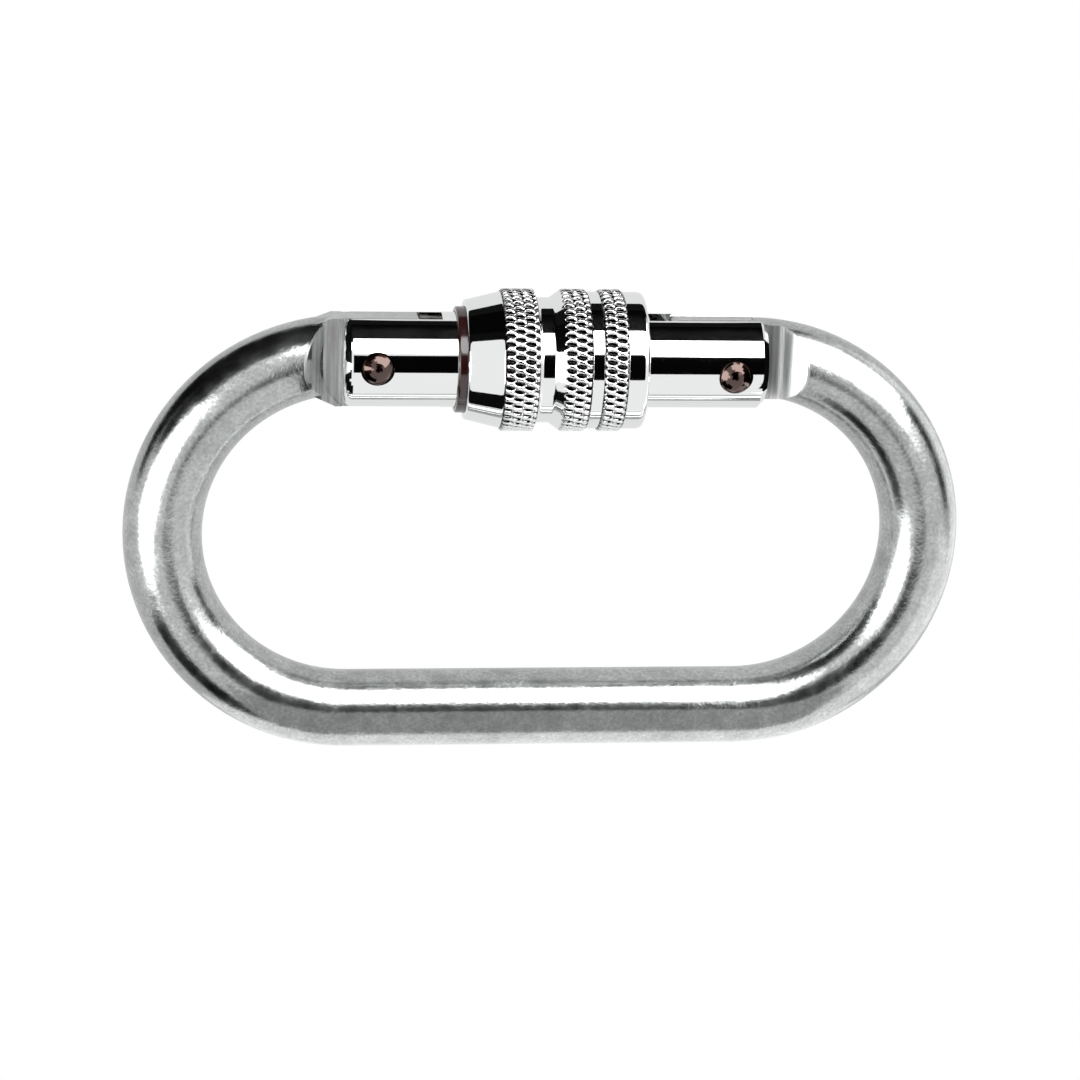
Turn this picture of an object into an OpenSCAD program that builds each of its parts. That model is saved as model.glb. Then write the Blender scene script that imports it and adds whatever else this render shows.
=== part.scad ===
// Oval screwgate carabiner: a bent round bar closed by a sprung, screw-locked gate.
// The oval lies in the XY plane. +Y points from the spine to the gate and +X from the
// hinge to the nose. The origin is the centre of the overall box.

/* [Body] */
// Overall length of the oval
body_len = 108; // [100:1:120]
// Diameter of the round bar
bar_d = 10; // [9:0.25:11]
// Distance between the axes of the spine and of the bar above it
bar_span = 47; // [42:0.5:52]
// How far the gate's axis lies inside the bar's axis
gate_drop = 0.6; // [0:0.1:1]
// Thickness of the two flat tongues that enter the gate
tongue_t = 4; // [3:0.25:4.5]
// Thickness of the raised land beside the hinge's spot face
land_t = 4.5; // [4.5:0.1:5.5]
// Slope of the milled shoulders above the tongues
shoulder_deg = 50; // [40:1:70]

/* [Hinge] */
// Distance from the start of the bend to the hinge rivet
hinge_in = 3.1; // [2:0.1:5]
// Distance from the rivet to the tip of the cam that drives the plunger
cam_reach = 5.65; // [5:0.1:6.5]
// Travel of the plunger for each radian that the gate turns
cam_lift = 1.6; // [1:0.1:1.8]
// Depth of the hinge tongue below the gate's axis
tongue_low = 5.6; // [5.4:0.1:6]
// Largest opening angle of the gate
gate_open = 38; // [30:1:40]
// Distance from the rivet to the foot of the milled shoulder
hinge_foot = 6.5; // [6:0.1:8]
// Shank diameter of the hinge rivet
rivet_d = 3.2; // [2.5:0.1:4]
// Head diameter of the hinge rivet
rivet_head_d = 4.2; // [4:0.1:5]

/* [Nose] */
// Distance from the start of the bend to the latch pin
latch_in = 2.8; // [1.5:0.1:4.5]
// How far the latch pin lies below the gate's axis
latch_low = 0.8; // [0:0.1:1.5]
// Shank diameter of the latch pin
latch_d = 3.2; // [2.5:0.1:3.8]
// Head diameter of the latch pin
latch_head_d = 4.3; // [4:0.1:5]
// Distance from the latch pin to the tip of the hook
hook_reach = 8.3; // [7:0.1:9]
// Depth of the hook below the gate's axis
hook_low = 4.3; // [3.5:0.1:5]
// How far the hook's turned edges lie inside the gate's round surface
hook_inset = 0.4; // [0.3:0.05:0.8]
// Gap between the end of the gate and the foot of the nose's shoulder
nose_gap = 2.5; // [2:0.1:3]

/* [Gate] */
// Diameter of the gate barrel
barrel_d = 12; // [11.5:0.1:12.4]
// Length of the barrel behind the hinge rivet
barrel_tail = 4.2; // [3.5:0.1:4.6]
// Length of the barrel beyond the latch pin
barrel_nose = 4.3; // [3.8:0.1:5]
// Rounding of the barrel's hinge end
tail_round = 1.2; // [0.8:0.1:1.6]
// Chamfer of the barrel's nose end
nose_chamfer = 0.8; // [0.5:0.1:1.2]
// Free space between a tongue and each side of its slot
slot_gap = 0.2; // [0.1:0.05:0.4]
// Length of slot left open beyond the tip of the hook
slot_spare = 2.4; // [2:0.1:3]

/* [Spring] */
// Diameter of the blind bore for the spring and plunger
bore_d = 6; // [5.5:0.1:6.4]
// Solid metal between the end of the bore and the nose slot
mid_wall = 6.15; // [4:0.05:8]
// Length of the plunger's head
plunger_len = 6; // [5:0.25:8]
// Diameter of the plunger's stem
stem_d = 2.9; // [2.2:0.1:3.4]
// Length of the plunger's stem
stem_len = 6; // [4:0.5:8]
// Diameter of the spring's wire
wire_d = 0.7; // [0.5:0.05:0.9]
// Number of open turns in the spring
spring_turns = 7; // [5:1:9]

/* [Sleeve] */
// Distance from the hinge rivet to the sleeve's hinge end
sleeve_back = 11.15; // [10:0.05:13]
// Distance from the open sleeve to the tip of the hook
hook_clear = 3; // [1:0.1:4]
// Thickness of the sleeve's wall under its knurled bands
sleeve_wall = 2.1; // [1.7:0.05:2.6]
// Thickness of the sleeve's lip around the ring
cone_lip = 0.74; // [0.5:0.02:1]
// Length of the cone
cone_len = 4.45; // [3.8:0.05:5.2]
// Width of the first knurled band
knurl_wide = 4.2; // [3.4:0.1:4.8]
// Width of the two narrow knurled bands
knurl_slim = 3.1; // [2.5:0.1:3.5]
// Depth of the wide groove
waist_depth = 1.1; // [0.6:0.1:1.2]
// Width of the wide groove across its top
waist_w = 3.7; // [3.2:0.1:4.2]
// Depth of the narrow groove and of the plain collar
groove_depth = 0.35; // [0.2:0.05:0.6]
// Width of the wide groove's steep side
waist_steep = 0.45; // [0.2:0.05:0.8]
// Width of the wide groove's sloping side
waist_slope = 1.55; // [1:0.05:1.8]
// Width of the narrow groove
groove_w = 1.4; // [0.8:0.1:1.7]
// Width of the plain collar at the sleeve's nose end
collar_w = 2.7; // [2:0.05:3.5]
// Rounding of the sleeve's nose end
collar_round = 1.8; // [1:0.1:2]
// Depth of the knurl
knurl_depth = 0.4; // [0.2:0.05:0.5]
// Length of the sleeve's internal thread
nut_len = 4.5; // [3:0.25:6]

/* [Ring] */
// Thickness of the wall of the ring in the sleeve's mouth
ring_wall = 0.64; // [0.5:0.02:0.8]
// Length of the ring that shows beside the sleeve
ring_show = 1.15; // [0.8:0.05:1.5]
// Length of the ring that sits in the sleeve
ring_seat = 1; // [0.6:0.1:1.5]

/* [Hidden] */
$fn = 64;

// Radial clearance of a pin in a hole of its own body, and of a running fit
pin_gap = 0.02;
run_gap = 0.06;
// Clearance between faces that pass each other
pass_gap = 0.15;
// Clearance of the sleeve's wide bore over the latch pin's heads
head_gap = 0.4;

bar_r = bar_d / 2;
bend_r = bar_span / 2;
bend_x = body_len / 2 - bar_r - bend_r;
hinge_x = bend_x - hinge_in;
latch_x = bend_x - latch_in;
barrel_r = barrel_d / 2;

// A domed head stands proud of the barrel by head_rise
head_rise = 0.5;
sleeve_bore_r = barrel_r + head_rise + head_gap;
sleeve_r = sleeve_bore_r + sleeve_wall;
nut_r = barrel_r + run_gap;
ring_r = nut_r + ring_wall;
mouth_r = ring_r + run_gap;
cone_r = mouth_r + cone_lip;

gate_y = (bar_span - gate_drop + bar_r - sleeve_r) / 2;
spine_y = gate_y + gate_drop - bar_span;
mid_y = spine_y + bend_r;
flat = tongue_t / 2;

tail_x = -hinge_x - barrel_tail;
end_x = latch_x + barrel_nose;
nose_foot_x = end_x + nose_gap;
tongue_top = gate_drop + bar_r;
slot_w = tongue_t + 2 * slot_gap;
hinge_slot_x = -hinge_x + norm([cam_reach, tongue_top]) + 2 * pass_gap;
hook_x = latch_x - hook_reach;
nose_slot_x = hook_x - slot_spare;
swing_r = norm([barrel_tail - tail_round, barrel_r - tail_round]) + tail_round + pass_gap;
bore_end_x = nose_slot_x - mid_wall;
sleeve_x = hinge_x - sleeve_back;
sleeve_end_x = hook_x - hook_clear;

// The seat under a domed head is cut just below the barrel's surface at the head's edge
seat_z = sqrt(pow(barrel_r, 2) - pow(max(latch_head_d / 2 + latch_low, rivet_head_d / 2), 2)) - 0.1;

// A point on the bend at an angle from the gate side, seen from the gate's axis.
// side is -1 at the hinge and 1 at the nose; off is the distance outward from the bar's axis
function bend_point(side, angle, off) =
    [side * (bend_x + (bend_r + off) * sin(angle)),
     gate_drop - bend_r + (bend_r + off) * cos(angle)];

// The cam is an involute: its reach grows by cam_lift for each radian of opening,
// so the plunger's flat face keeps its clearance at every angle
function cam_point(angle) =
    let (reach = cam_reach + cam_lift * angle * PI / 180)
    [reach * cos(angle) - cam_lift * sin(angle), -reach * sin(angle) - cam_lift * cos(angle)];

// Quarter circle from one angle to another, as points round a centre
function arc(centre, r, from, to, steps = 8) =
    [for (i = [0:steps]) let (a = from + (to - from) * i / steps) centre + r * [cos(a), sin(a)]];

// Everything turned about the gate's axis is drawn in X and radius
module turned_on_gate() {
    translate([0, gate_y, 0])
        rotate([0, 90, 0])
            rotate_extrude()
                children();
}

module profile(points) {
    polygon([for (p = points) [p[1], p[0]]]);
}

module bent_bar() {
    translate([-bend_x, spine_y, 0])
        rotate([0, 90, 0])
            cylinder(r = bar_r, h = 2 * bend_x);
    for (side = [-1, 1])
        translate([side * bend_x, mid_y, 0])
            rotate([0, 0, side * -90])
                rotate_extrude(angle = 180)
                    translate([bend_r, 0])
                        circle(r = bar_r);
}

// The wedge that a shoulder cutter removes above and below a tongue
module shoulder_cut(side, foot_x, foot_z) {
    rise = bar_r + 1 - foot_z;
    for (face = [-1, 1])
        translate([0, gate_y + 2 * barrel_r, 0])
            rotate([90, 0, 0])
                linear_extrude(4 * barrel_r)
                    polygon([[side * foot_x, face * foot_z],
                             [side * (foot_x + rise / tan(shoulder_deg)), face * (foot_z + rise)],
                             [0, face * (foot_z + rise)],
                             [0, face * foot_z]]);
}

module hinge_outline() {
    cam = [for (i = [0:19]) [-hinge_x, 0] + cam_point(gate_open * i / 19)];
    foot_x = -hinge_x - hinge_foot;
    // Past its last point the cam runs straight on, down to the tongue's lower edge
    run = max(0.1, (tongue_low + cam[19][1]) / cos(gate_open));
    heel = cam[19] - run * [sin(gate_open), cos(gate_open)];
    polygon(concat(
        [bend_point(-1, 23, -bar_r * 0.6), bend_point(-1, 23, bar_r * 0.6),
         bend_point(-1, 19, bar_r * 0.8),
         [foot_x + 1, tongue_top], [-hinge_x + cam_reach - 0.4, tongue_top],
         [-hinge_x + cam_reach, tongue_top - 0.4]],
        cam,
        [heel, [foot_x + 1.5, heel[1]], bend_point(-1, 14, -bar_r * 0.88)]));
}

module nose_outline() {
    notch_top = -latch_low + latch_d / 2 + pass_gap;
    notch_in = latch_x - latch_d / 2 - pass_gap;
    notch_out = latch_x + latch_d / 2 + 2 * pass_gap;
    root_low = gate_drop - bar_r - 0.1;
    // The notch widens downward, because the pin leaves it on an arc about the hinge
    drift = (hinge_x + latch_x) * (1 - cos(asin((hook_low + latch_d) / (hinge_x + latch_x))));
    polygon(concat(
        [bend_point(1, 18, bar_r * 0.8), [bend_x, tongue_top - 0.1]],
        arc([hook_x + 1.8, tongue_top - 1.9], 1.8, 90, 180),
        arc([hook_x + 1.2, -hook_low + 1.2], 1.2, 180, 270, 4),
        arc([notch_in - drift - 0.8, -hook_low + 0.8], 0.8, 270, 360, 4),
        [[notch_in, -latch_low], [notch_in, notch_top], [notch_out, notch_top],
         [notch_out, root_low + 0.6], [notch_out + 0.6, root_low],
         [nose_foot_x, root_low], bend_point(1, 18, -bar_r * 0.8)]));
}

module plate(t) {
    translate([0, gate_y, -t / 2])
        linear_extrude(t)
            children();
}

// The hook keeps round edges, so that the sleeve passes over it
module nose_tongue() {
    intersection() {
        plate(tongue_t)
            nose_outline();
        turned_on_gate()
            profile([[0, 0], [0, barrel_r - hook_inset],
                     [body_len / 2, barrel_r - hook_inset], [body_len / 2, 0]]);
    }
}

module body() {
    color([0.74, 0.76, 0.78])
        difference() {
            union() {
                difference() {
                    bent_bar();
                    shoulder_cut(-1, hinge_x + hinge_foot, land_t / 2);
                    shoulder_cut(1, nose_foot_x, flat);
                }
                plate(land_t)
                    hinge_outline();
                nose_tongue();
            }
            // Spot faces in which the forked end of the gate swings
            for (face = [-1, 1])
                translate([-hinge_x, gate_y, face * (flat + bar_r) - bar_r]) {
                    cylinder(r = swing_r, h = bar_d);
                    translate([0, -bar_d, 0])
                        cube([cam_reach + 1, 2 * bar_d, bar_d]);
                }
            translate([-hinge_x, gate_y, -bar_d])
                cylinder(d = rivet_d + 2 * run_gap, h = 2 * bar_d);
        }
}

// A seat for a rivet's head on both sides of the barrel, and the hole between them
module rivet_holes(x, y, shank_d, head_d) {
    translate([x, gate_y + y, -barrel_d])
        cylinder(d = shank_d + 2 * pin_gap, h = 2 * barrel_d);
    for (face = [-1, 1])
        translate([x, gate_y + y, face * (seat_z + barrel_r) - barrel_r])
            cylinder(d = head_d + 2 * pin_gap, h = barrel_d);
}

module slot(from_x, to_x) {
    translate([from_x, gate_y - barrel_d, -slot_w / 2])
        cube([to_x - from_x, 2 * barrel_d, slot_w]);
}

module gate_barrel() {
    color([0.86, 0.87, 0.88])
        difference() {
            turned_on_gate()
                profile(concat(
                    [[tail_x, 0], [tail_x, barrel_r - tail_round]],
                    arc([tail_x + tail_round, barrel_r - tail_round], tail_round, 180, 90),
                    [[end_x - nose_chamfer, barrel_r], [end_x, barrel_r - nose_chamfer],
                     [end_x, 0]]));
            slot(tail_x - 1, hinge_slot_x);
            slot(nose_slot_x, end_x + 1);
            translate([tail_x - 1, gate_y, 0])
                rotate([0, 90, 0])
                    cylinder(d = bore_d, h = bore_end_x - tail_x + 1);
            rivet_holes(-hinge_x, 0, rivet_d, rivet_head_d);
            rivet_holes(latch_x, -latch_low, latch_d, latch_head_d);
        }
}

// A rivet closed at both ends into domed heads
module rivet(shank_d, head_d) {
    base = seat_z + pin_gap;
    top = barrel_r + head_rise;
    rim = base + (top - base) * 0.3;
    dome_r = (pow(head_d / 2, 2) + pow(top - rim, 2)) / (2 * (top - rim));
    sweep = asin(head_d / 2 / dome_r);
    half = concat(
        [[shank_d / 2, base], [head_d / 2, base]],
        arc([0, top - dome_r], dome_r, 90 - sweep, 90));
    rotate_extrude()
        polygon(concat(half, [for (i = [len(half) - 1:-1:0]) [half[i][0], -half[i][1]]]));
}

module hinge_rivet() {
    color([0.7, 0.68, 0.66])
        translate([-hinge_x, gate_y, 0])
            rivet(rivet_d, rivet_head_d);
}

module latch_pin() {
    color([0.7, 0.68, 0.66])
        translate([latch_x, gate_y - latch_low, 0])
            rivet(latch_d, latch_head_d);
}

plunger_x = -hinge_x + cam_reach + run_gap;
spring_x = plunger_x + plunger_len;

module spring_plunger() {
    color([0.72, 0.6, 0.35])
        turned_on_gate()
            profile([[plunger_x, 0], [plunger_x, bore_d / 2 - run_gap - 0.3],
                     [plunger_x + 0.3, bore_d / 2 - run_gap], [spring_x, bore_d / 2 - run_gap],
                     [spring_x, stem_d / 2], [spring_x + stem_len - 0.4, stem_d / 2],
                     [spring_x + stem_len, stem_d / 2 - 0.4], [spring_x + stem_len, 0]]);
}

// Compression spring with one closed turn at each end, swept as rings of points
module return_spring() {
    seat = 0.05;
    coil_r = bore_d / 2 - run_gap - seat - wire_d / 2;
    from_x = spring_x + seat + wire_d / 2;
    to_x = bore_end_x - seat - wire_d / 2;
    close = wire_d * 1.06;
    turns = spring_turns + 2;
    pitch = (to_x - from_x - 2 * close) / spring_turns;
    per_turn = 18;
    sides = 6;
    rings = turns * per_turn;
    points = [for (i = [0:rings], k = [0:sides - 1])
        let (turn = i / per_turn,
             x = from_x + close * min(turn, 1) + pitch * max(0, min(turn - 1, spring_turns))
                 + close * max(0, turn - 1 - spring_turns),
             a = turn * 360,
             b = k * 360 / sides,
             r = coil_r + wire_d / 2 * cos(b))
        [x + wire_d / 2 * sin(b), r * cos(a), r * sin(a)]];
    walls = [for (i = [0:rings - 1], k = [0:sides - 1])
        let (n = (k + 1) % sides, p = i * sides, q = p + sides)
        [p + k, p + n, q + n, q + k]];
    ends = [[for (k = [sides - 1:-1:0]) k], [for (k = [0:sides - 1]) rings * sides + k]];
    color([0.55, 0.57, 0.6])
        translate([0, gate_y, 0])
            polyhedron(points, concat(walls, ends), convexity = 10);
}

module sleeve_ring() {
    seat_x = -sleeve_x + ring_seat;
    mouth_x = -sleeve_x - ring_show;
    edge = ring_wall / 2;
    color([0.3, 0.1, 0.08])
        turned_on_gate()
            profile([[mouth_x, nut_r], [mouth_x, ring_r - edge], [mouth_x + edge, ring_r],
                     [seat_x - run_gap, ring_r], [seat_x - run_gap, nut_r]]);
}

// Axial stations of the sleeve, from its hinge end. The bands keep their widths on a sleeve of
// the length that they add up to, and are fitted to a shorter or longer one
sleeve_len = sleeve_end_x + sleeve_x;
fit = sleeve_len / (cone_len + knurl_wide + waist_w + 2 * knurl_slim + groove_w + collar_w);
knurl_a = cone_len * fit;
waist_a = knurl_a + knurl_wide * fit;
knurl_b = waist_a + waist_w * fit;
groove_b = knurl_b + knurl_slim * fit;
knurl_c = groove_b + groove_w * fit;
collar_c = knurl_c + knurl_slim * fit;
plain_r = sleeve_r - groove_depth;
root_r = sleeve_r - knurl_depth;
waist_r = sleeve_r - waist_depth;

module locking_sleeve() {
    x0 = -sleeve_x;
    last = sleeve_len;
    edge = knurl_depth;
    round_end = min(collar_round, 0.9 * (last - collar_c), plain_r - sleeve_bore_r - run_gap);
    color([0.86, 0.87, 0.88])
        turned_on_gate()
            profile([for (p = concat(
                [[0, mouth_r], [0, cone_r - edge / 2], [edge / 2, cone_r],
                 [knurl_a, root_r], [knurl_a + edge, sleeve_r],
                 [waist_a, sleeve_r], [waist_a + waist_steep * fit, waist_r],
                 [knurl_b - waist_slope * fit, waist_r], [knurl_b, sleeve_r],
                 [groove_b - groove_depth, sleeve_r], [groove_b, plain_r],
                 [knurl_c, plain_r], [knurl_c + groove_depth, sleeve_r],
                 [collar_c - groove_depth, sleeve_r], [collar_c, plain_r]],
                arc([last - round_end, plain_r - round_end], round_end, 90, 0),
                [[last, sleeve_bore_r], [ring_seat + nut_len + 0.6, sleeve_bore_r],
                 [ring_seat + nut_len, nut_r], [ring_seat, nut_r], [ring_seat, mouth_r]]))
                [x0 + p[0], p[1]]]);
}

body();
gate_barrel();
hinge_rivet();
latch_pin();
return_spring();
spring_plunger();
sleeve_ring();
locking_sleeve();
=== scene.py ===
# Looks for an oval screwgate carabiner. Lengths are in millimetres and become metres in putMesh.
import math

import bpy
import numpy as np
from mathutils import Matrix, Vector


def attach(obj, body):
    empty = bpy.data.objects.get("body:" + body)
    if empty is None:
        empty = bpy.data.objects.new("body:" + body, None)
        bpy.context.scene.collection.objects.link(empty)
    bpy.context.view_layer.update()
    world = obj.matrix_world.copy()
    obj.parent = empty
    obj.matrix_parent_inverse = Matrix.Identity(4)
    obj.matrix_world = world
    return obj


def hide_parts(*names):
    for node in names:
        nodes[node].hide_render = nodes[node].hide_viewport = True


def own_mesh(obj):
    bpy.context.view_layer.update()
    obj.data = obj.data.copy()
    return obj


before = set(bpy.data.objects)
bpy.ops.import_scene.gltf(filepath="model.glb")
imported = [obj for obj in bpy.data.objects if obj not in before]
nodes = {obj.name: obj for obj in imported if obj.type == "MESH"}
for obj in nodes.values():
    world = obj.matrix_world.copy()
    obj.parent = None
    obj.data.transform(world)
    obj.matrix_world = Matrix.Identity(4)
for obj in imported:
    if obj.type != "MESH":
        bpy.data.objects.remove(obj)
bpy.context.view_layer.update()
mm = 0.001
tiny = 1e-6
print("frame loaded:", len(nodes), "nodes")

# The gate's axis runs along X at this Y, as in the part's source
gateY = 21.2
tau = 2 * math.pi


# Signed volume of a closed surface: the sum over its triangles of a . (b x c) / 6
def signedVolume(points, tris):
    a, b, c = points[tris[:, 0]], points[tris[:, 1]], points[tris[:, 2]]
    return np.einsum("ij,ij->i", a, np.cross(b, c)).sum() / 6


# Makes a smooth piece of triangles that face outward, dressed and on its body
def putMesh(name, points, tris, material, body, uv=None):
    if signedVolume(points, tris) < 0:
        tris = tris[:, ::-1]
    mesh = bpy.data.meshes.new(name)
    mesh.vertices.add(len(points))
    mesh.vertices.foreach_set("co", (points * mm).astype(np.float32).ravel())
    mesh.loops.add(tris.size)
    mesh.loops.foreach_set("vertex_index", tris.astype(np.int32).ravel())
    mesh.polygons.add(len(tris))
    mesh.polygons.foreach_set("loop_start", np.arange(0, tris.size, 3, dtype=np.int32))
    mesh.polygons.foreach_set("use_smooth", np.ones(len(tris), bool))
    mesh.update(calc_edges=True)
    if uv is not None:
        layer = mesh.uv_layers.new(name="surface")
        layer.data.foreach_set("uv", uv[tris.ravel()].astype(np.float32).ravel())
    mesh.validate()
    piece = bpy.data.objects.new(name, mesh)
    bpy.context.scene.collection.objects.link(piece)
    mesh.materials.append(material)
    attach(piece, body)
    print(name, len(tris), "triangles")
    return piece


# Triangles over a grid of rows and columns, joined round where wrapped. Each cell is cut along
# the diagonal whose ends lie nearer each other in height, so that a crease keeps its line
def gridTriangles(rows, cols, wrapRows, wrapCols, height=None):
    i = np.arange(rows if wrapRows else rows - 1)[:, None]
    j = np.arange(cols if wrapCols else cols - 1)[None, :]
    i2, j2 = (i + 1) % rows, (j + 1) % cols
    a, b, c, d = (x.ravel() for x in np.broadcast_arrays(
        i * cols + j, i2 * cols + j, i2 * cols + j2, i * cols + j2))
    if height is None:
        first = np.ones(len(a), bool)
    else:
        h = height.ravel()
        first = np.abs(h[a] - h[c]) <= np.abs(h[b] - h[d])
    one = np.where(first[:, None], np.stack([a, b, c], 1), np.stack([a, b, d], 1))
    two = np.where(first[:, None], np.stack([a, c, d], 1), np.stack([b, c, d], 1))
    return np.concatenate([one, two])


# Corners (x, r, radius) of a closed profile, each cut back by its radius, or by less on a short
# side, and rounded with a quadratic curve. A corner without a radius stays sharp
def roundProfile(corners, steps=5):
    xy = np.array([c[:2] for c in corners], float)
    radii = np.array([c[2] if len(c) > 2 else 0.0 for c in corners])
    before, after = np.roll(xy, 1, 0) - xy, np.roll(xy, -1, 0) - xy
    lenBefore = np.linalg.norm(before, axis=1)
    lenAfter = np.linalg.norm(after, axis=1)
    mostOfSide = 0.45
    cut = np.minimum(radii, mostOfSide * np.minimum(lenBefore, lenAfter))
    start = xy + before / lenBefore[:, None] * cut[:, None]
    end = xy + after / lenAfter[:, None] * cut[:, None]
    t = np.linspace(0, 1, steps + 1)[None, :, None]
    bend = start[:, None] * (1 - t) ** 2 + 2 * xy[:, None] * t * (1 - t) + end[:, None] * t ** 2
    kept = [bend[k] if cut[k] > tiny else xy[k:k + 1] for k in range(len(xy))]
    return np.concatenate(kept)


# Adds points along a profile, so that no step is longer than the given one. An open profile is
# left without its last point
def denser(profile, step, closed=True):
    following = np.roll(profile, -1, 0)
    parts = []
    for p, q in list(zip(profile, following))[:None if closed else -1]:
        n = max(1, int(math.ceil(np.linalg.norm(q - p) / step)))
        parts.append(p + (q - p) * (np.arange(n) / n)[:, None])
    return np.concatenate(parts)


# The point of a profile that lies nearest to (x, r), by its place in the list
def nearest(profile, x, r):
    return np.argmin(np.abs(profile - (x, r)).sum(1))


# Surface of revolution about the gate's axis: (x, r) goes to (x, gateY + r cos a, r sin a)
def turned(x, r, angles):
    x, r, a = np.broadcast_arrays(x, r, angles[None, :])
    return np.stack([x, gateY + r * np.cos(a), r * np.sin(a)], -1)


def newMaterial(name, colour, metallic, roughness):
    material = bpy.data.materials.new(name)
    material.use_nodes = True
    shader = material.node_tree.nodes["Principled BSDF"]
    shader.inputs["Base Color"].default_value = (*colour, 1)
    shader.inputs["Metallic"].default_value = metallic
    shader.inputs["Roughness"].default_value = roughness
    return material, material.node_tree, shader


def objectPoint(tree, scale=(1, 1, 1)):
    place = tree.nodes.new("ShaderNodeTexCoord")
    mapping = tree.nodes.new("ShaderNodeMapping")
    mapping.inputs["Scale"].default_value = scale
    tree.links.new(place.outputs["Object"], mapping.inputs["Vector"])
    return mapping.outputs["Vector"]


# Noise runs from 0 to 1, and most of it lies between these two
mostNoise = (0.3, 0.7)


def noise(tree, vector, scale, detail, rough):
    node = tree.nodes.new("ShaderNodeTexNoise")
    node.inputs["Scale"].default_value = scale
    node.inputs["Detail"].default_value = detail
    node.inputs["Roughness"].default_value = rough
    tree.links.new(vector, node.inputs["Vector"])
    return node.outputs["Fac"]


# Marks of a tool: noise with its own scale per metre along each axis
def toolMarks(tree, scales):
    return noise(tree, objectPoint(tree, scales), 1.0, 3, 0.6)


def mathNode(tree, operation, a, b=None, clamp=False):
    node = tree.nodes.new("ShaderNodeMath")
    node.operation = operation
    node.use_clamp = clamp
    for socket, value in zip(node.inputs, (a, b)):
        if value is None:
            continue
        if isinstance(value, (int, float)):
            socket.default_value = value
        else:
            tree.links.new(value, socket)
    return node.outputs[0]


# Maps low to high onto toLow to toHigh and stays level beyond them
def spread(tree, value, low, high, toLow, toHigh):
    node = tree.nodes.new("ShaderNodeMapRange")
    for key, number in zip(("From Min", "From Max", "To Min", "To Max"), (low, high, toLow, toHigh)):
        node.inputs[key].default_value = number
    tree.links.new(value, node.inputs["Value"])
    return node.outputs["Result"]


def colourRamp(tree, value, stops):
    node = tree.nodes.new("ShaderNodeValToRGB")
    ramp = node.color_ramp
    while len(ramp.elements) < len(stops):
        ramp.elements.new(0.5)
    for element, (place, colour) in zip(ramp.elements, stops):
        element.position = place
        element.color = (*colour, 1)
    tree.links.new(value, node.inputs["Fac"])
    return node.outputs["Color"]


def bump(tree, height, distance, normal=None):
    node = tree.nodes.new("ShaderNodeBump")
    node.inputs["Strength"].default_value = 1.0
    node.inputs["Distance"].default_value = distance
    tree.links.new(height, node.inputs["Height"])
    if normal is not None:
        tree.links.new(normal, node.inputs["Normal"])
    return node.outputs["Normal"]


def split(tree, vector):
    node = tree.nodes.new("ShaderNodeSeparateXYZ")
    tree.links.new(vector, node.inputs[0])
    return node.outputs


# The three turns, in degrees, are about X, Y and the line of sight. The clipping is in metres
cameraView = {"place": (-46.68, 103.31, 359.06), "turns": (16.43, 7.0, 0.12), "lens": 97.57,
              "sensor": 36, "clip": (0.01, 20)}


def makeCamera(v):
    data = bpy.data.cameras.new("camera")
    data.lens = v["lens"]
    data.sensor_width = v["sensor"]
    data.clip_start, data.clip_end = v["clip"]
    camera = bpy.data.objects.new("camera", data)
    ax, ay, az = (math.radians(-a) for a in v["turns"])
    turn = Matrix.Rotation(ax, 4, "X") @ Matrix.Rotation(ay, 4, "Y") @ Matrix.Rotation(az, 4, "Z")
    camera.matrix_world = Matrix.Translation(Vector(v["place"]) * mm) @ turn
    bpy.context.scene.collection.objects.link(camera)
    bpy.context.scene.camera = camera


makeCamera(cameraView)
print("camera placed")


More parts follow.
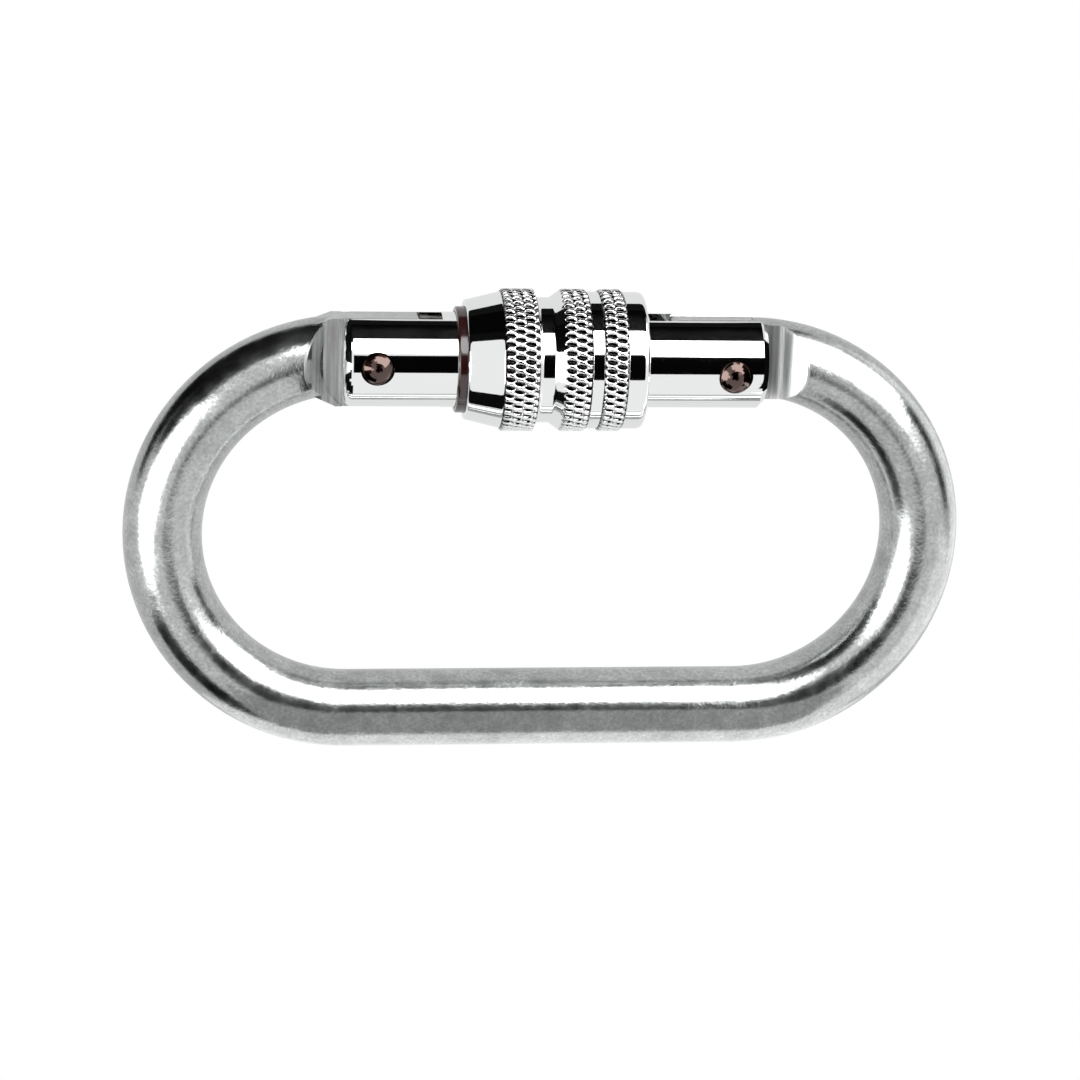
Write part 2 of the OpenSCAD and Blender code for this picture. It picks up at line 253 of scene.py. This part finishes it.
# A far light or card is given by the direction of its middle: degrees from straight up, then
# degrees round from +X. Its width runs round that circle and its height along the direction's
# tilt. A near card or glow is given by its centre. Cards are black and glows bright, and only
# mirrors see them. The floor passes just under two points (y, z), on the sleeve and on the spine
studio = {
    "floorPoints": ((gateY, -9.0), (-25.2, -5.0)),
    "floorDrop": 0.37,
    "floorSize": 4000,
    "black": 0.004,
    "skyForMatt": 0.2,
    "skyShine": 0.9,
    "floorShine": 0.8,
    "brightness": 4.0,
    "lamps": {
        # name: shape, tilt, azimuth, distance, width, height
        "lampTop": ("RECTANGLE", 58, 60, 560, 840, 700),
        "lampLeft": ("DISK", 50, 181, 550, 480, 480),
    },
    "cards": {
        # name: tilt, azimuth, distance, width, height
        "cardUpLeft": (80, 127, 520, 860, 560),
        "cardLowLeft": (70, 240, 520, 470, 340),
        "cardRight": (84, 8, 520, 280, 240),
    },
    "nearCards": {
        # name: centre, point faced, width, height, degrees turned in its own plane
        "cardOver": ((26, 23, 250), (26, 23, 0), 142, 190, 0),
        "cardGate": ((5, 75, 11), (5, 0, 11), 90, 41, 0),
        "cardFloor": ((5, 61, -8.6), (5, 61, 100), 90, 28, 0),
        "cardFloorLeft": ((-84, 84, -8.2), (-84, 84, 100), 170, 130, 37),
        "cardEndHigh": ((-30.5, 26.0, 11.5), (0, 26.0, 11.5), 15, 8, 90),
        "cardEndLow": ((-30.5, 16.5, 11.5), (0, 16.5, 11.5), 15, 5, 90),
        "cardNose": ((29.3, 22.5, 7.5), (0, 22.5, 7.5), 9, 12, 90),
        "cardNoseOver": ((28.7, 19.6, 9), (28.7, 19.6, 0), 3.4, 13, 0),
    },
    "glows": {
        # name: brightness in mirrors, then as the near cards
        "glowNose": (2.2, (29.5, 20.5, 7.5), (60, 20.5, 7.5), 9, 12, 90),
        "hazeSpine": (0.47, (0, -34.5, 12), (0, -34.5, 0), 84, 21.6, 0),
        "glowSpine": (1.35, (0, -53.5, 8), (0, -4.9, 95.4), 100, 49, 0),
        "glowRight": (1.4, (85, 5, -7.2), (85, 13.6, 92.4), 50, 110, 0),
        "glowLowRight": (1.3, (80, -50, 18), (45, -18, 4), 90, 44, 0),
    },
}


# White where the camera looks, as bright as shine in mirrors, and dim as a light for matt surfaces
def whiteForEyes(tree, output, shine):
    path = tree.nodes.new("ShaderNodeLightPath").outputs
    seen = mathNode(tree, "ADD", path["Is Camera Ray"], path["Is Transmission Ray"], clamp=True)
    base = spread(tree, seen, 0, 1, studio["skyForMatt"], 1)
    mirrored = spread(tree, path["Is Glossy Ray"], 0, 1, 0, shine - studio["skyForMatt"])
    tree.links.new(mathNode(tree, "ADD", base, mirrored), output)


def makeWorld():
    world = bpy.data.worlds.new("sky")
    bpy.context.scene.world = world
    world.use_nodes = True
    sky = world.node_tree.nodes["Background"]
    sky.inputs["Color"].default_value = (1, 1, 1, 1)
    whiteForEyes(world.node_tree, sky.inputs["Strength"], studio["skyShine"])


def makeGlow(name, shine):
    material = bpy.data.materials.new(name)
    material.use_nodes = True
    tree = material.node_tree
    tree.nodes.remove(tree.nodes["Principled BSDF"])
    glow = tree.nodes.new("ShaderNodeEmission")
    whiteForEyes(tree, glow.inputs["Strength"], shine)
    tree.links.new(glow.outputs[0], tree.nodes["Material Output"].inputs["Surface"])
    return material


# A flat sheet that faces a point and is then turned by the twist in its own plane
def makeSheet(name, centre, target, width, height, twist, material):
    centre, target = Vector(centre) * mm, Vector(target) * mm
    facing = (target - centre).to_track_quat("Z", "Y").to_matrix()
    turn = facing @ Matrix.Rotation(math.radians(twist), 3, "Z")
    x, y = width * mm / 2, height * mm / 2
    points = [centre + turn @ Vector((*c, 0)) for c in ((-x, -y), (x, -y), (x, y), (-x, y))]
    mesh = bpy.data.meshes.new(name)
    mesh.from_pydata(points, [], [(0, 1, 2, 3)])
    mesh.materials.append(material)
    sheet = bpy.data.objects.new(name, mesh)
    bpy.context.scene.collection.objects.link(sheet)
    return sheet


# The point that lies in a direction at a distance, seen from the middle of the oval
def fromMiddle(tilt, azimuth, distance):
    t, a = math.radians(tilt), math.radians(azimuth)
    level = distance * math.sin(t)
    return (level * math.cos(a), level * math.sin(a), distance * math.cos(t))


def makeLamp(name, shape, tilt, azimuth, distance, width, height):
    data = bpy.data.lights.new(name, "AREA")
    data.shape = shape
    data.size, data.size_y = width * mm, height * mm
    area = width * height * mm * mm * (math.pi / 4 if shape == "DISK" else 1)
    data.energy = studio["brightness"] * math.pi * area
    lamp = bpy.data.objects.new(name, data)
    place = Vector(fromMiddle(tilt, azimuth, distance)) * mm
    facing = place.to_track_quat("Z", "Y").to_matrix().to_4x4()
    lamp.matrix_world = Matrix.Translation(place) @ facing
    lamp.visible_camera = False
    bpy.context.scene.collection.objects.link(lamp)


def makeFloor():
    low, lowSpine = (Vector((0, y, z)) for y, z in studio["floorPoints"])
    up = Vector((1, 0, 0)).cross((low - lowSpine).normalized())
    centre = (low + lowSpine) / 2 - up * studio["floorDrop"]
    size = studio["floorSize"]
    material = makeGlow("studioFloor", studio["floorShine"])
    makeSheet("floor", centre, centre + up * 100, size, size, 0, material)


def makeStudio():
    makeWorld()
    for name, lamp in studio["lamps"].items():
        makeLamp(name, *lamp)
    black, _, shader = newMaterial("studioBlack", (studio["black"],) * 3, 0, 1)
    shader.inputs["Specular IOR Level"].default_value = 0
    sheets = []
    for name, (tilt, azimuth, distance, width, height) in studio["cards"].items():
        middle = fromMiddle(tilt, azimuth, distance)
        sheets.append(makeSheet(name, middle, (0, 0, 0), width, height, 0, black))
    for name, where in studio["nearCards"].items():
        sheets.append(makeSheet(name, *where, black))
    for name, (shine, *where) in studio["glows"].items():
        sheets.append(makeSheet(name, *where, makeGlow(name, shine)))
    for sheet in sheets:
        sheet.visible_camera = False
        sheet.visible_diffuse = False
        sheet.visible_shadow = False
        sheet.visible_transmission = False
    makeFloor()


makeStudio()
print("studio lit")


# Colours of the plated bar and where they stand in its shade, its roughness, its noises as scale
# per metre, detail and roughness, the depth of its bumps in metres, the cutter's path at the
# hinge and at the nose, and the look of the milled faces
zinc = {
    "colour": (0.46, 0.475, 0.47), "dark": (0.31, 0.32, 0.315), "pale": (0.63, 0.645, 0.64),
    "shades": (0.28, 0.5, 0.74), "roughness": (0.15, 0.25), "roughFrom": (0.25, 0.75),
    "grain": (2300, 3, 0.6), "coarse": (420, 3, 0.55), "clouds": (55, 2, 0.5),
    "grainSwing": (0.7, 1.3), "cloudShare": 0.4, "depth": 0.00002,
    "footHinge": 28.9, "footNose": 29.5, "flatHinge": 2.25, "flatNose": 2.0, "slope": 1.19,
    "near": 0.3, "nearEdge": 0.04,
    "limits": {"reach": (-21, -20), "y": (13.5, 14), "facing": (0.45, 0.55)},
    "milled": (0.66, 0.69, 0.69), "scored": (0.46, 0.445, 0.45), "milledRoughness": 0.38,
    "scores": (4200, 110, 300), "scoreEdges": (0.38, 0.62),
}


# 1 on the milled tongues and ramps, 0 on the round bar: a point is milled where it looks up or
# down, lies on the gate's side near an end, and is near the cutter's path, which is flat up to
# a foot in X and then climbs
def milledMask(tree):
    x, y, z = split(tree, objectPoint(tree, (1000, 1000, 1000)))
    foot = spread(tree, x, -1, 1, zinc["footHinge"], zinc["footNose"])
    level = spread(tree, x, -1, 1, zinc["flatHinge"], zinc["flatNose"])
    reach = mathNode(tree, "SUBTRACT", mathNode(tree, "ABSOLUTE", x), foot)
    climb = mathNode(tree, "MULTIPLY", mathNode(tree, "MAXIMUM", reach, 0.0), zinc["slope"])
    path = mathNode(tree, "ADD", climb, level)
    off = mathNode(tree, "ABSOLUTE", mathNode(tree, "SUBTRACT", path, mathNode(tree, "ABSOLUTE", z)))
    place = tree.nodes.new("ShaderNodeTexCoord")
    faces = mathNode(tree, "ABSOLUTE", split(tree, place.outputs["Normal"])[2])
    mask = spread(tree, off, zinc["near"] - zinc["nearEdge"], zinc["near"] + zinc["nearEdge"], 1, 0)
    for value, limits in zip((reach, y, faces), zinc["limits"].values()):
        mask = mathNode(tree, "MULTIPLY", mask, spread(tree, value, *limits, 0, 1))
    return mask


def mixColour(tree, factor, a, b):
    node = tree.nodes.new("ShaderNodeMix")
    node.data_type = "RGBA"
    tree.links.new(factor, node.inputs[0])
    for socket, value in ((node.inputs[6], a), (node.inputs[7], b)):
        if isinstance(value, tuple):
            socket.default_value = (*value, 1)
        else:
            tree.links.new(value, socket)
    return node.outputs[2]


def mixNumber(tree, factor, a, b):
    node = tree.nodes.new("ShaderNodeMix")
    for socket, value in zip(node.inputs[0:1] + node.inputs[2:4], (factor, a, b)):
        if isinstance(value, (int, float)):
            socket.default_value = value
        else:
            tree.links.new(value, socket)
    return node.outputs[0]


# Plated steel: a fine grain in colour, in roughness and in height, with larger clouds. The
# milled faces are matt and scored along Y by the cutter
def makeZinc():
    material, tree, shader = newMaterial("zincBar", zinc["colour"], 1.0, zinc["roughness"][0])
    point = objectPoint(tree)
    fine = noise(tree, point, *zinc["grain"])
    coarse = noise(tree, point, *zinc["coarse"])
    clouds = noise(tree, point, *zinc["clouds"])
    scores = toolMarks(tree, zinc["scores"])
    mask = milledMask(tree)
    mix = mathNode(tree, "MULTIPLY", fine, spread(tree, coarse, *mostNoise, *zinc["grainSwing"]))
    shade = mathNode(tree, "ADD", mathNode(tree, "MULTIPLY", mix, 1 - zinc["cloudShare"]),
                     mathNode(tree, "MULTIPLY", clouds, zinc["cloudShare"]))
    colours = (zinc["dark"], zinc["colour"], zinc["pale"])
    plated = colourRamp(tree, shade, list(zip(zinc["shades"], colours)))
    cleared = spread(tree, scores, *zinc["scoreEdges"], 0, 1)
    milled = mixColour(tree, cleared, zinc["scored"], zinc["milled"])
    tree.links.new(mixColour(tree, mask, plated, milled), shader.inputs["Base Color"])
    rough = spread(tree, coarse, *zinc["roughFrom"], *zinc["roughness"])
    tree.links.new(mixNumber(tree, mask, rough, zinc["milledRoughness"]), shader.inputs["Roughness"])
    grain = bump(tree, mix, zinc["depth"])
    scored = mathNode(tree, "MULTIPLY", scores, mask)
    tree.links.new(bump(tree, scored, zinc["depth"], grain), shader.inputs["Normal"])
    return material


def dress(node, material):
    mesh = nodes[node].data
    mesh.materials.clear()
    mesh.materials.append(material)


dress("body", makeZinc())
print("bar dressed")


# The marks run round the axis. The last two entries paint shade into the knurl's pits: its colour,
# and the two depths between which the colour darkens
bright = {"colour": (0.90, 0.915, 0.91), "roughness": (0.03, 0.06), "roughFrom": (0.35, 0.75),
          "clouds": (160, 3, 0.6), "marks": (5000, 60, 60), "depth": 0.000002,
          "pitShadeColour": (0.035, 0.03, 0.03), "pitShadeDepths": (0.06, 0.45)}


# Polished chrome plate with fine turning marks. On the sleeve a painted shade darkens the knurl's
# pits by their depth, which the piece's own UV map holds in V
def makeBright(name, pitted=False):
    material, tree, shader = newMaterial(name, bright["colour"], 1.0, bright["roughness"][0])
    marks = toolMarks(tree, bright["marks"])
    clouds = noise(tree, objectPoint(tree), *bright["clouds"])
    rough = spread(tree, clouds, *bright["roughFrom"], *bright["roughness"])
    tree.links.new(rough, shader.inputs["Roughness"])
    tree.links.new(bump(tree, marks, bright["depth"]), shader.inputs["Normal"])
    if pitted:
        # Painted shade: the colour goes from the plate's towards near black as the pit deepens
        place = tree.nodes.new("ShaderNodeTexCoord")
        depth = spread(tree, split(tree, place.outputs["UV"])[1], *bright["pitShadeDepths"], 0, 1)
        pitShaded = mixColour(tree, depth, bright["colour"], bright["pitShadeColour"])
        tree.links.new(pitShaded, shader.inputs["Base Color"])
    return material


# Small plain pieces: colour, metallic, lowest and highest roughness and the scale of its noise
plainLooks = {
    "rivetSteel": ((0.06, 0.026, 0.018), 1.0, (0.06, 0.2), 900),
    "plungerSteel": ((0.07, 0.062, 0.055), 1.0, (0.14, 0.3), 700),
    "springSteel": ((0.42, 0.43, 0.45), 1.0, (0.16, 0.3), 1500),
    "darkRing": ((0.02, 0.004, 0.004), 0.0, (0.08, 0.2), 900),
}
rivetCoat = {"Coat Weight": 1.0, "Coat IOR": 1.6}
ringGloss = {"IOR": 1.75}


# One colour whose roughness wanders, with other sockets of the shader set by name
def makePlain(name, sockets):
    colour, metallic, roughness, scale = plainLooks[name]
    material, tree, shader = newMaterial(name, colour, metallic, roughness[0])
    for socket, value in sockets.items():
        shader.inputs[socket].default_value = value
    rough = spread(tree, noise(tree, objectPoint(tree), scale, 3, 0.5), *mostNoise, *roughness)
    tree.links.new(rough, shader.inputs["Roughness"])
    return material


brightPlate = makeBright("brightPlate")
knurledPlate = makeBright("knurledPlate", True)
rivetSteel = makePlain("rivetSteel", rivetCoat)
dress("gate_barrel", brightPlate)
dress("hinge_rivet", rivetSteel)
dress("latch_pin", rivetSteel)
dress("spring_plunger", makePlain("plungerSteel", {}))
print("gate dressed")


# The screw sleeve from its hinge end: cone, knurled band, wide groove, knurled band, narrow
# groove, knurled band and plain collar. Places along it count from its start. The knurl repeats
# around times round the sleeve, with that many cells of the mesh in each repeat
sleeve = {
    "start": -11.25, "length": 22.65, "crest": 8.99, "root": 8.6, "coneRadius": 7.5, "plain": 8.65,
    "coneEnd": 4.45, "waist": (8.65, 12.35), "steep": 0.45, "slope": 1.55, "waistDepth": 1.1,
    "groove": (15.45, 16.85), "collar": 19.95, "collarRound": 1.7,
    "around": 50, "axialPitch": 2.54, "cells": 10, "pitRadius": 8.3,
    "pitLong": 0.78, "pitShort": 1.1, "pitFloor": 0.25, "pitEdge": 0.92,
    "mouth": 6.76, "thread": 6.06, "bore": 6.9, "seat": 1.0, "threadLength": 4.5, "threadRunout": 0.6,
    "bandPastSteep": 0.2, "bandPastSlope": 0.4,
    "crisp": 0.05, "eased": 0.1, "fillet": 0.15, "soft": 0.25,
}


# Height of the knurl from 0 to 1: two families of lines cross, and each crossing is the middle
# of an oval pit that is longer along one family, with flat ridges left between the pits. The
# wall of a pit rises from pitFloor to pitEdge, as seen from its middle
def knurlHeight(turns, along, s):
    u = turns * s["around"] + along / s["axialPitch"]
    v = turns * s["around"] - along / s["axialPitch"]
    fromU = 2 * np.abs(u - np.round(u))
    fromV = 2 * np.abs(v - np.round(v))
    away = np.hypot(s["pitLong"] * fromU, s["pitShort"] * fromV)
    t = np.clip((away - s["pitFloor"]) / (s["pitEdge"] - s["pitFloor"]), 0, 1)
    return t * t * (3 - 2 * t)


# Corners of the sleeve's section, (x, r) or (x, r, rounding), along the outside to the nose end
# and back through the bore
def sleeveCorners(s):
    crest, plain, end = s["crest"], s["plain"], s["length"]
    waistStart, waistEnd = s["waist"]
    grooveStart, grooveEnd = s["groove"]
    chamfer = crest - plain
    waistRadius = crest - s["waistDepth"]
    threadEnd = s["seat"] + s["threadLength"]
    cone = [(0, s["mouth"], s["crisp"]), (0, s["coneRadius"], s["soft"]),
            (s["coneEnd"], s["root"], s["eased"]), (s["coneEnd"] + chamfer, crest)]
    waist = [(waistStart, crest), (waistStart + s["steep"], waistRadius, s["soft"]),
             (waistEnd - s["slope"], waistRadius, s["fillet"]), (waistEnd, crest)]
    groove = [(grooveStart - chamfer, crest), (grooveStart, plain, s["crisp"]),
              (grooveEnd, plain, s["crisp"]), (grooveEnd + chamfer, crest)]
    collar = [(s["collar"] - chamfer, crest), (s["collar"], plain, s["crisp"]),
              (end, plain, s["collarRound"]), (end, s["bore"], s["eased"])]
    bore = [(threadEnd + s["threadRunout"], s["bore"]), (threadEnd, s["thread"]),
            (s["seat"], s["thread"]), (s["seat"], s["mouth"])]
    return cone + waist + groove + collar + bore


# The section turned about the gate's axis. Its outside has rows close enough for the knurl, and on
# the three bands the radius is cut down to pitRadius + (crest - pitRadius) x height
def makeSleeve(s, material):
    crest, end = s["crest"], s["length"]
    cols = s["around"] * s["cells"]
    rowStep = s["axialPitch"] / s["cells"]
    profile = roundProfile(sleeveCorners(s))
    rim = nearest(profile, end, s["bore"])
    profile = np.concatenate([denser(profile[:rim + 1], rowStep, False), profile[rim + 1:]])
    x, r = profile[:, 0], profile[:, 1]
    turns = np.arange(cols) / cols
    height = knurlHeight(turns[None, :], x[:, None], s)
    cut = s["pitRadius"] + (crest - s["pitRadius"]) * height
    outside = np.arange(len(x)) < nearest(profile, end, s["bore"])
    steepSide, slopeSide = s["waist"][0] + s["bandPastSteep"], s["waist"][1] - s["bandPastSlope"]
    limits = ((s["coneEnd"], steepSide), (slopeSide, s["groove"][0]), (s["groove"][1], s["collar"]))
    bands = np.zeros(len(x), bool)
    for a, b in limits:
        bands |= (x > a - tiny) & (x < b + tiny)
    knurled = (bands & outside)[:, None]
    radius = np.where(knurled, np.minimum(r[:, None], cut), r[:, None])
    points = turned(s["start"] + x[:, None], radius, turns * tau)
    tris = gridTriangles(len(x), cols, True, True, radius)
    # The depth in the knurl goes to V of the UV map, where the material paints shade into the pits
    depth = (crest - radius) / (crest - s["pitRadius"]) * knurled
    uv = np.stack(np.broadcast_arrays(turns[None, :], depth), -1)
    piece = putMesh("sleeveKnurled", points.reshape(-1, 3), tris, material, "sleeve",
                    uv.reshape(-1, 2))
    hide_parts("locking_sleeve")


makeSleeve(sleeve, knurledPlate)


# The external thread that the sleeve runs on: low ridges of one start, which stand on the barrel
# and fade out at both ends. The radius is root + rise (1 + cos 2 pi (x / pitch + turn)) / 2
thread = {"from": -10.6, "to": 11.2, "pitch": 1.5, "root": 5.97, "rise": 0.075, "inner": 5.6,
          "fade": 1.2, "rows": 220, "around": 120}


def makeThread(s, material):
    x = np.linspace(s["from"], s["to"], s["rows"])
    turns = np.arange(s["around"]) / s["around"]
    phase = x[:, None] / s["pitch"] + turns[None, :]
    ridge = (1 + np.cos(tau * phase)) / 2
    ends = np.minimum(x - s["from"], s["to"] - x) / s["fade"]
    radius = s["root"] + s["rise"] * ridge * np.clip(ends, 0, 1)[:, None]
    inside = np.full((2, s["around"]), s["inner"])
    x = np.concatenate([x, [s["to"], s["from"]]])
    radius = np.concatenate([radius, inside])
    points = turned(x[:, None], radius, turns * tau)
    tris = gridTriangles(len(x), s["around"], True, True)
    putMesh("barrelThread", points.reshape(-1, 3), tris, material, "gate")


makeThread(thread, brightPlate)


# The return spring inside the gate: a round wire wound on a helix. At the angle b round the wire
# a point stands at the radius R + w cos b and at w sin b along X from the wire's middle, which
# moves by close in the closed turn at each end and by pitch in each open turn between them
spring = {"from": -10.29, "radius": 2.54, "wire": 0.35, "close": 0.742, "pitch": 2.0366, "open": 7,
          "perTurn": 48, "sides": 12, "fixedEnd": 5.8, "travel": 1.07}


def makeSpring(s, material):
    turnsInAll = s["open"] + 2
    turn = np.linspace(0, turnsInAll, turnsInAll * s["perTurn"] + 1)
    middle = s["from"] + s["close"] * (np.clip(turn, 0, 1) + np.clip(turn - 1 - s["open"], 0, 1))
    middle = middle + s["pitch"] * np.clip(turn - 1, 0, s["open"])
    side = np.arange(s["sides"]) * tau / s["sides"]
    x = middle[:, None] + s["wire"] * np.sin(side)[None, :]
    r = s["radius"] + s["wire"] * np.cos(side)[None, :]
    a = turn[:, None] * tau
    points = np.stack([x, gateY + r * np.cos(a), r * np.sin(a)], -1)
    wall = gridTriangles(len(turn), s["sides"], False, True)
    # A fan round the wire's middle closes each end
    middles = np.stack([points[0].mean(0), points[-1].mean(0)])
    here = np.arange(s["sides"])
    after = (here + 1) % s["sides"]
    count = len(turn) * s["sides"]
    lastRing = count - s["sides"]
    lids = np.concatenate([
        np.stack([here, after, np.full_like(here, count)], 1),
        np.stack([lastRing + after, lastRing + here, np.full_like(here, count + 1)], 1)])
    points = np.concatenate([points.reshape(-1, 3), middles])
    tris = np.concatenate([wall, lids])
    piece = putMesh("springCoil", points, tris, material, "gate")
    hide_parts("return_spring")
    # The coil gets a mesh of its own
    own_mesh(piece)


makeSpring(spring, makePlain("springSteel", {}))


# The dark ring in the sleeve's mouth: a section turned about the gate's axis, with its outer edge
# well rounded on the hinge's side
ring = {"from": -12.4, "to": -10.31, "outer": 6.7, "inner": 6.06, "edge": 0.1, "outerEdge": 0.3,
        "step": 0.25, "around": 160}


def makeRing(s, material):
    corners = [(s["from"], s["inner"], s["edge"]), (s["from"], s["outer"], s["outerEdge"]),
               (s["to"], s["outer"], s["edge"]), (s["to"], s["inner"], s["edge"])]
    profile = denser(roundProfile(corners), s["step"])
    angles = np.arange(s["around"]) * tau / s["around"]
    points = turned(profile[:, :1], profile[:, 1:], angles)
    tris = gridTriangles(len(profile), s["around"], True, True)
    piece = putMesh("ringTurned", points.reshape(-1, 3), tris, material, "ring")
    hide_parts("sleeve_ring")


makeRing(ring, makePlain("darkRing", ringGloss))

bpy.context.scene.view_settings.view_transform = "Standard"
